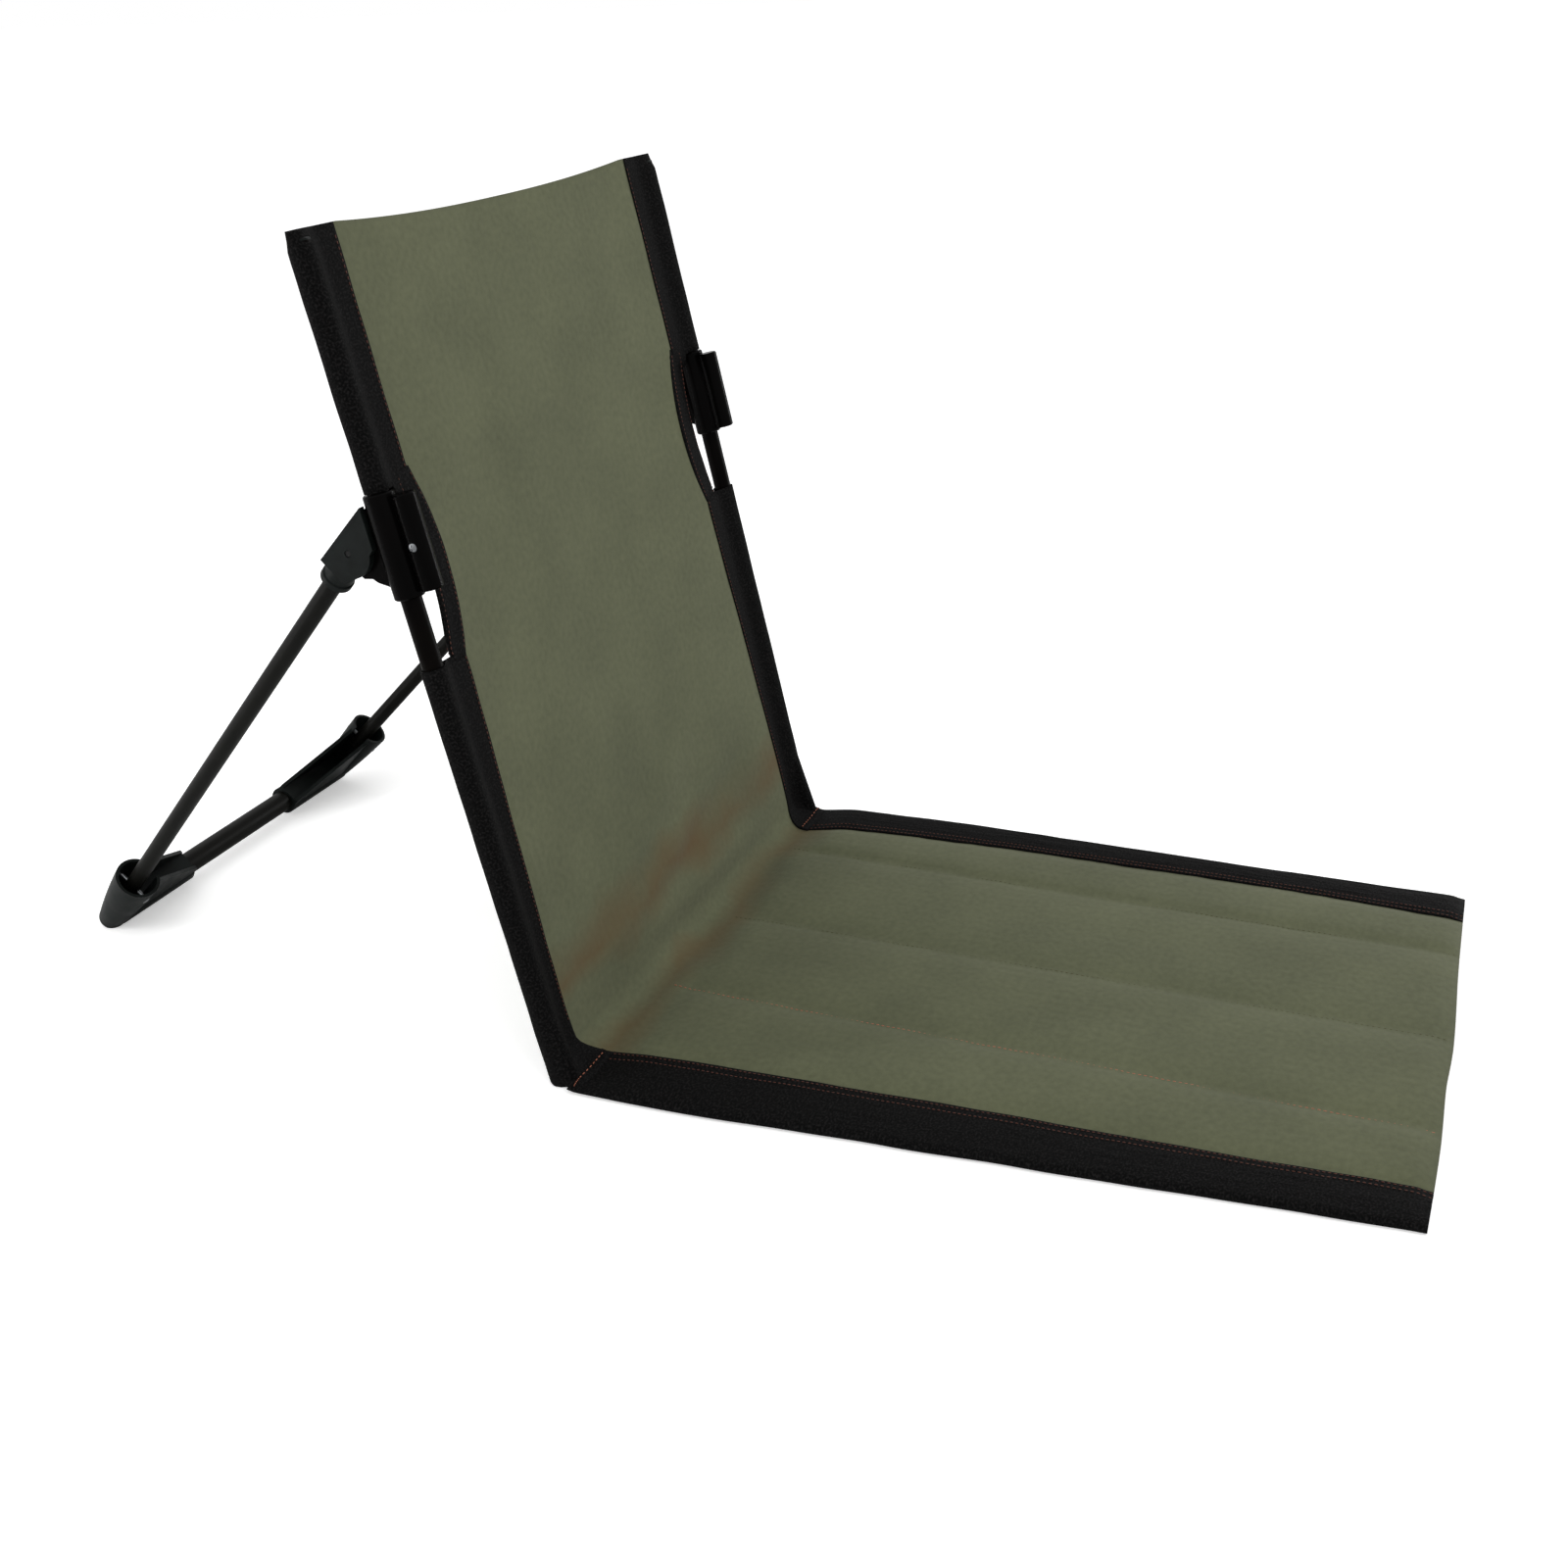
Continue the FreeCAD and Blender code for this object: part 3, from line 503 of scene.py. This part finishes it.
def tape(name, around, steps, place):
    """A length of tape folded into a closed section: an open tube whose points place puts from
    their share of the way round and along. Each point also says where it is in the weave."""
    bm = bmesh.new()
    bmesh.ops.create_cone(bm, cap_ends=False, segments=around, radius1=1, radius2=1, depth=1)
    long_edges = [e for e in bm.edges if abs(e.verts[0].co.z - e.verts[1].co.z) > 0.5]
    bmesh.ops.subdivide_edges(bm, edges=long_edges, cuts=steps - 1)
    spots = {}
    for vert in bm.verts:
        turn = math.atan2(vert.co.y, vert.co.x) / math.tau % 1.0
        spots[vert] = (round(turn * around) % around, vert.co.z + 0.5)
    weave_map = bm.loops.layers.uv.new("weave")
    for face in bm.faces:
        last = max(spots[loop.vert][0] for loop in face.loops)
        for loop in face.loops:
            spot, along = spots[loop.vert]
            spot = spot + around if last - spot > around / 2 else spot
            loop[weave_map].uv = place(spot / around, along)[1]
    places = {vert: place(spot / around, along)[0] for vert, (spot, along) in spots.items()}
    for vert, point in places.items():
        vert.co = point
    return made_piece(name, bm)


def webbed(piece):
    """Gives a piece the webbing's material and slot."""
    piece.data.materials.append(webbing)


def walled(piece):
    """Gives an open skin of webbing its thickness, inward."""
    wall = piece.modifiers.new("wall", "SOLIDIFY")
    wall.thickness = 0.0009
    wall.offset = -1.0
    webbed(piece)
    return piece


tunnel_radius = 0.0072
tail_half = 0.00115
# The flat tail ends and the tunnel opens this far short of the tube's middle.
tunnel_opening = 0.015
sleeve_girth = 0.1
sleeve_sides = 56


def sleeve_outline(share, reach, tunnel, half):
    """The sleeve's section: a tail that opens into a round tunnel and comes back. Gives x from
    the tail's edge, rise, and the distance round."""
    flat = reach - tunnel_opening
    turned = share % 1.0
    face = 1 if turned < 0.5 else -1
    way = 2 * min(turned, 1 - turned)
    tail_share = opening_share = 0.3
    turn = (way - tail_share) / (1 - tail_share)
    if turn < 0:
        x = girth = way / tail_share * flat
        rise = half
    elif turn < opening_share:
        part = turn / opening_share
        x = girth = flat + part * (reach - flat)
        rise = half + (tunnel - half) * eased(0.0, 1.0, part)
    else:
        angle = (turn - opening_share) / (1 - opening_share) * math.pi / 2
        x, girth = reach + tunnel_radius * math.sin(angle), reach + tunnel_radius * angle
        rise = tunnel * math.cos(angle)
    return x, face * rise, girth if share < 0.5 else sleeve_girth - girth


def puffed(x, run, depth):
    """Shallow swellings of webbing, a few centimetres apart."""
    return depth * noise.noise(Vector((x * 40, run * 26, 2.2)))


def sewn_round(side, reach, x, rise, along, seed):
    """Sets a point of a sleeve's section round its tube, with the unevenness of sewn webbing."""
    sign = outward[side]
    x += tube_x - reach + 0.0006 * noise.noise(Vector((along * 30, sign * 3.0, seed)))
    rise += math.copysign(abs(puffed(x, along, 0.0005)), rise)
    return sign * x, rise


upper_low, tail_drop = 0.3648, 0.009


def upper_point(side, share, along):
    """Point of the upper webbing, and its weave place. The tunnel is pressed flatter at its top end,
    and the tail hangs lower than the tunnel, whose lower end meets the bracket."""
    height = upper_low + (back_height - upper_low) * along
    reach = tube_x - through(sleeve_edge, height)
    tunnel = tunnel_radius * (1.0 - 0.5 * eased(back_height - 0.012, back_height, height))
    x, rise, girth = sleeve_outline(share, reach, tunnel, tail_half)
    in_tail = 1 - eased(reach - tunnel_opening, reach - 0.010, x)
    height -= tail_drop * in_tail * (1 - eased(upper_low, upper_low + 0.03, height))
    x, rise = sewn_round(side, reach, x, rise, height, 5.0)
    return up_back(x, height, rise), (girth, height)


for side in ("right", "left"):
    upper = walled(tape(
        f"{side}_upper_webbing", sleeve_sides, 27, lambda share, along: upper_point(side, share, along),
    ))
    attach(upper, "back")
    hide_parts(f"{side}_upper_sleeve")

# Lower webbing: comes down the tube, then turns forward under the bend to the fold line, where
# the seat's border is sewn on. The tube's end stands in a short pocket behind the bend.
lower_start, lower_end = seat_run - 0.003, run_at(0.265)
flat_extra = 0.0006
floor_gap = 0.0003
pocket_length, pocket_lift, pocket_spread = 0.045, 0.0042, 0.7


def lower_point(side, share, run):
    """Point of the lower webbing at a run, and its weave place. It flattens toward the fold."""
    height = height_at(run)
    roundness = eased(-0.014, 0.02, height)
    half = tail_half + flat_extra * (1 - roundness)
    tunnel = half + (tunnel_radius - half) * roundness
    reach = tube_x - through(sleeve_edge, height)
    x, rise, girth = sleeve_outline(share, reach, tunnel, half)
    x, rise = sewn_round(side, reach, x, rise, run, 7.0)
    point = lay(x, run, rise)
    point.z = max(point.z, floor_gap)
    return point, (girth, run)


def tube_pocket(side):
    """Sewn end of the tunnel, round the plug, standing on the floor. Its foot spreads forward,
    into the bend."""
    bm = bmesh.new()
    bmesh.ops.create_uvsphere(bm, u_segments=32, v_segments=20, radius=tunnel_radius)
    weave_map = bm.loops.layers.uv.new("weave")
    for vert in bm.verts:
        if vert.co.z > 0:
            vert.co.z += pocket_length
    for face in bm.faces:
        for loop in face.loops:
            angle = math.atan2(loop.vert.co.y, loop.vert.co.x)
            loop[weave_map].uv = (angle * tunnel_radius, loop.vert.co.z)
    for vert in bm.verts:
        if vert.co.y < 0:
            vert.co.y *= 1 + pocket_spread * (1 - eased(0.0, 0.022, vert.co.z))
        point = up_back(outward[side] * tube_x + vert.co.x, vert.co.z + pocket_lift, -vert.co.y)
        point.z = max(point.z, floor_gap)
        vert.co = point
    return made_piece(f"{side}_tube_pocket", bm)


for side in ("right", "left"):
    lower = walled(tape(
        f"{side}_lower_webbing", sleeve_sides, 60,
        lambda share, along: lower_point(side, share, lower_start + (lower_end - lower_start) * along),
    ))
    across_fold(lower)
    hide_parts(f"{side}_lower_sleeve")
    pocket = tube_pocket(side)
    webbed(pocket)
    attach(pocket, "back")

# Bindings: narrow webbing folded over the cloth's edge in the scallops beside the brackets. Their
# edges are rounded where the tape turns over, and their ends lap the ends of the sleeves' tails.
binding_low, binding_high, binding_width = 0.262, 0.371, 0.018
binding_half = 0.0013


def binding_x(height, share):
    """Distance from the chair's middle, share of the way across. It stays clear of the bracket."""
    return min(scallop(height) + binding_width * share, 0.1715 + 0.003 * share)


def binding_point(side, u, v, layer):
    """A point of a binding's front (layer 1) or rear (layer 0), from its shares across and up."""
    height = binding_low + (binding_high - binding_low) * v
    edge = min(u, 1 - u)
    half = binding_half * math.sqrt(max(0.12, 1 - (1 - min(1.0, edge * 6)) ** 2))
    sign = outward[side]
    rise = (half if layer > 0.5 else -half) + 0.0004 * noise.noise(Vector((u * 3, height * 60, sign)))
    return up_back(sign * binding_x(height, u), height, rise)


for side in ("right", "left"):
    binding = slab(
        f"{side}_scallop_binding", 12, 40, lambda u, v, layer: binding_point(side, u, v, layer),
        lambda u, v: (u * binding_width, v * 0.11),
    )
    webbed(binding)
    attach(binding, "back")
    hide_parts(f"{side}_side_binding")

# Seat borders: wide webbing folded round the seat's long edges and sewn through near its inner
# edge. The front end is folded under, so it is thinner there.
border_lap = 0.006
border_flat_half = 0.0012
border_swell = 0.0021
border_girth = 0.09
# Where round its section the underside, the inner turn and the top end.
under_end, inner_end, top_end = 0.42, 0.5, 0.92


def border_x(side, share, out):
    """A border's x, share of the way from its outer to its inner edge."""
    outer, inner = (right_edge, right_inner) if side == "right" else (left_edge, left_inner)
    a, b = through(outer, out), through(inner, out)
    return a + (b - a) * share


def border_point(side, share, along):
    """Point of a border, from its share of the way round and along, and its weave place."""
    out = seat_run - along * (seat_run + border_lap)
    share = share % 1.0
    full = eased(-border_lap, 0.03, out)
    end = eased(seat_run, seat_run - 0.01, out)
    low = -fold_z * full - border_flat_half * (1 - full) + 0.0002
    top = (border_flat_half + border_swell * full) * (0.4 + 0.6 * end)
    if share < under_end:
        way, rise = share / under_end, low
    elif share < inner_end:
        way = 1.0
        rise = low + (top - 0.0002 - low) * (share - under_end) / (inner_end - under_end)
    elif share < top_end:
        way = 1 - (share - inner_end) / (top_end - inner_end)
        swell = math.sin(math.pi * way) * 0.0009 * full
        rise = top + swell + abs(puffed(way, out, 0.0006)) * full
    else:
        way, rise = 0.0, top + (low - top) * (share - top_end) / (1 - top_end)
    rounded = math.sqrt(max(0.0, 1 - (1 - min(1.0, way / 0.12)) ** 2))
    middle = (low + top) / 2
    rise = middle + (rise - middle) * (0.25 + 0.75 * rounded)
    shift = 0.0008 * noise.noise(Vector((out * 22, 1.0 if side == "left" else 6.0, way)))
    x = border_x(side, way, max(out, 0.0)) + shift
    y_wave = through(front_wave, x) * (1 - eased(0.0, 0.12, seat_run - out))
    return lay(x, seat_run - out - y_wave, rise), (share * border_girth, out)


for side in ("right", "left"):
    border = walled(tape(
        f"{side}_seat_webbing", 64, 120, lambda share, along: border_point(side, share, along),
    ))
    across_fold(border)
    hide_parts(f"{side}_seat_border")

# Stitching: lockstitch rows in brown thread along the webbing, and in dull olive down the seat's
# seams. The right seam and the corners are in a redder thread. Each stitch is a low bead of
# thread about 2 mm long, sunk a little into what it is sewn through.
thread_half_width, thread_half_height = 0.00038, 0.0003


def thread_material(name, colour):
    material, _, shader = surface(name, colour, 0.6)
    shader.inputs["Specular IOR Level"].default_value = 0.2
    return material


brown_thread = thread_material("brown_thread", "#4E2C22")
olive_thread = thread_material("olive_thread", "#4C4B33")
rust_thread = thread_material("rust_thread", "#A0624C")


def stitches(name, thread, pitch, *rows):
    """Beads of thread along rows, each of which is a function from 0 to 1 to a point."""
    bm = bmesh.new()
    for row in rows:
        marks = [row(i / 24) for i in range(25)]
        count = max(1, round(sum((b - a).length for a, b in zip(marks, marks[1:])) / pitch))
        for i in range(count):
            start, end = row((i + 0.15) / count), row((i + 0.85) / count)
            turn = (end - start).to_track_quat("X", "Z")
            size = Vector(((end - start).length / 2, thread_half_width, thread_half_height))
            at = Matrix.LocRotScale((start + end) / 2, turn, size)
            bmesh.ops.create_icosphere(bm, subdivisions=1, radius=1.0, matrix=at)
    piece = made_piece(name, bm)
    piece.data.materials.append(thread)
    return piece


def seam_row(seam):
    """A row down a seam of the seat."""
    def row(t):
        out = 0.004 + 0.468 * t
        x = through(seam, out)
        return lay(x, seat_run - out, cloth_front(x, seat_run - out) + 0.0001)
    return row


def tail_row(side, inset, low, high, face):
    """A row up a sleeve's tail, inset from its edge, on the front (1) or the rear (-1)."""
    def row(t):
        height = low + (high - low) * t
        x = through(sleeve_edge, height) + inset
        return up_back(outward[side] * x, height, face * (tail_half + thread_half_height))
    return row


def binding_row(side, share, face):
    """A row up a binding, share of the way across."""
    def row(t):
        height = binding_low + (binding_high - binding_low) * (0.03 + 0.94 * t)
        return up_back(outward[side] * binding_x(height, share), height, face * binding_half)
    return row


def border_row(side, way):
    """A row along a border's top, way of its width from the outer edge."""
    share = inner_end + (top_end - inner_end) * (1 - way)
    return lambda t: border_point(side, share, t)[0] + Vector((0, 0, 0.0001))


def fold_row(side):
    """Where the border and the lower webbing are sewn together, straight across at the fold."""
    bead = Vector((0, 0, thread_half_height))
    return lambda t: lower_point(side, 0.02 + 0.43 * t, seat_run + 0.003)[0] + bead


seam_pitch, webbing_pitch, corner_pitch = 0.0034, 0.003, 0.0026
across_fold(stitches(
    "seat_seam_stitching", olive_thread, seam_pitch, *(seam_row(seam) for seam in seams[1:]),
))
across_fold(stitches("right_seam_stitching", rust_thread, seam_pitch, seam_row(seams[0])))
for side in ("right", "left"):
    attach(stitches(
        f"{side}_sleeve_stitching", brown_thread, webbing_pitch,
        *(tail_row(side, 0.0016, 0.3705, 0.494, face) for face in (1, -1)),
        *(tail_row(side, 0.0016, 0.03, 0.262, face) for face in (1, -1)),
        *(binding_row(side, share, face) for share in (0.14, 0.86) for face in (1, -1)),
    ), "back")
    across_fold(stitches(
        f"{side}_border_stitching", brown_thread, webbing_pitch,
        border_row(side, 0.95), border_row(side, 0.82),
    ))
    across_fold(stitches(f"{side}_corner_stitching", rust_thread, corner_pitch, fold_row(side)))

# Studio: a plain pale floor, soft light from large lamps, two thin strip lamps for bright lines on
# tubes and brackets, and the photograph's camera. The floor and the sky show white to the camera,
# the sky also in reflections, and the floor keeps the shadow.
bpy.context.scene.view_settings.view_transform = "Standard"
bm = bmesh.new()
bmesh.ops.create_grid(bm, x_segments=1, y_segments=1, size=60.0)
floor = made_piece("floor", bm)
pale, tree, shader = surface("pale_floor", "#F2F2F2", 0.9)
seen = add(tree, "LightPath")
glow = add(tree, "Math", {0: seen.outputs["Is Camera Ray"], 1: 0.4}, operation="MULTIPLY")
shader.inputs["Emission Color"].default_value = (1, 1, 1, 1)
tree.links.new(glow.outputs["Value"], shader.inputs["Emission Strength"])
floor.data.materials.append(pale)

sky = bpy.data.worlds.new("studio_sky")
bpy.context.scene.world = sky
sky.use_nodes = True
tree = sky.node_tree
seen = add(tree, "LightPath")
shown = seen.outputs["Is Camera Ray"]
for kind in ("Is Glossy Ray", "Is Transmission Ray"):
    shown = add(tree, "Math", {0: shown, 1: seen.outputs[kind]}, operation="MAXIMUM").outputs["Value"]
strength = add(tree, "MapRange", {"Value": shown, "To Min": 0.75, "To Max": 1.0})
background = tree.nodes["Background"]
background.inputs["Color"].default_value = (1, 1, 1, 1)
tree.links.new(strength.outputs["Result"], background.inputs["Strength"])


def lamp(name, at, width, height, power):
    """Soft lamp aimed at the chair."""
    data = bpy.data.lights.new(name, "AREA")
    data.shape = "RECTANGLE"
    data.size = width
    data.size_y = height
    data.energy = power
    light = bpy.data.objects.new(name, data)
    light.location = at
    light.rotation_mode = "QUATERNION"
    light.rotation_quaternion = (Vector(at) - Vector((0, 0, 0.15))).to_track_quat("Z", "Y")
    bpy.context.scene.collection.objects.link(light)


lamp("key", (-1.15, -1.75, 2.6), 1.6, 1.6, 25.5)
lamp("fill", (-2.2, 1.2, 1.6), 1.8, 1.8, 8)
lamp("rim", (1.6, 1.4, 1.9), 1.2, 1.2, 7)
lamp("front_strip", (1.3, -0.8, 0.35), 0.04, 0.9, 7)
lamp("rear_strip", (-0.85, 1.25, 0.35), 0.04, 0.9, 7)

# The camera's focal length and shifts are in pixels of a picture 1600 wide.
picture_width, focal_length, shift_right, shift_up = 1600, 1756.6, 1.1, -1.2
camera_data = bpy.data.cameras.new("camera")
camera_data.sensor_width = 36.0
camera_data.lens = camera_data.sensor_width * focal_length / picture_width
camera_data.shift_x = shift_right / picture_width
camera_data.shift_y = shift_up / picture_width
camera_data.clip_start = 0.01
azimuth, elevation, roll = math.radians(-66.584), math.radians(24.878), math.radians(2.213)
toward = Vector((
    math.sin(azimuth) * math.cos(elevation),
    -math.cos(azimuth) * math.cos(elevation),
    math.sin(elevation),
))
level = Vector((math.cos(azimuth), math.sin(azimuth), 0))
upright = toward.cross(level)
right_way = math.cos(roll) * level - math.sin(roll) * upright
up_way = math.sin(roll) * level + math.cos(roll) * upright
camera = bpy.data.objects.new("camera", camera_data)
aim, distance = Vector((0, crease_y - 0.0674, 0.1224)), 1.1167
stand = aim + distance * toward
camera.matrix_world = Matrix((
    (right_way.x, up_way.x, toward.x, stand.x),
    (right_way.y, up_way.y, toward.y, stand.y),
    (right_way.z, up_way.z, toward.z, stand.z),
    (0, 0, 0, 1),
))
bpy.context.scene.collection.objects.link(camera)
bpy.context.scene.camera = camera
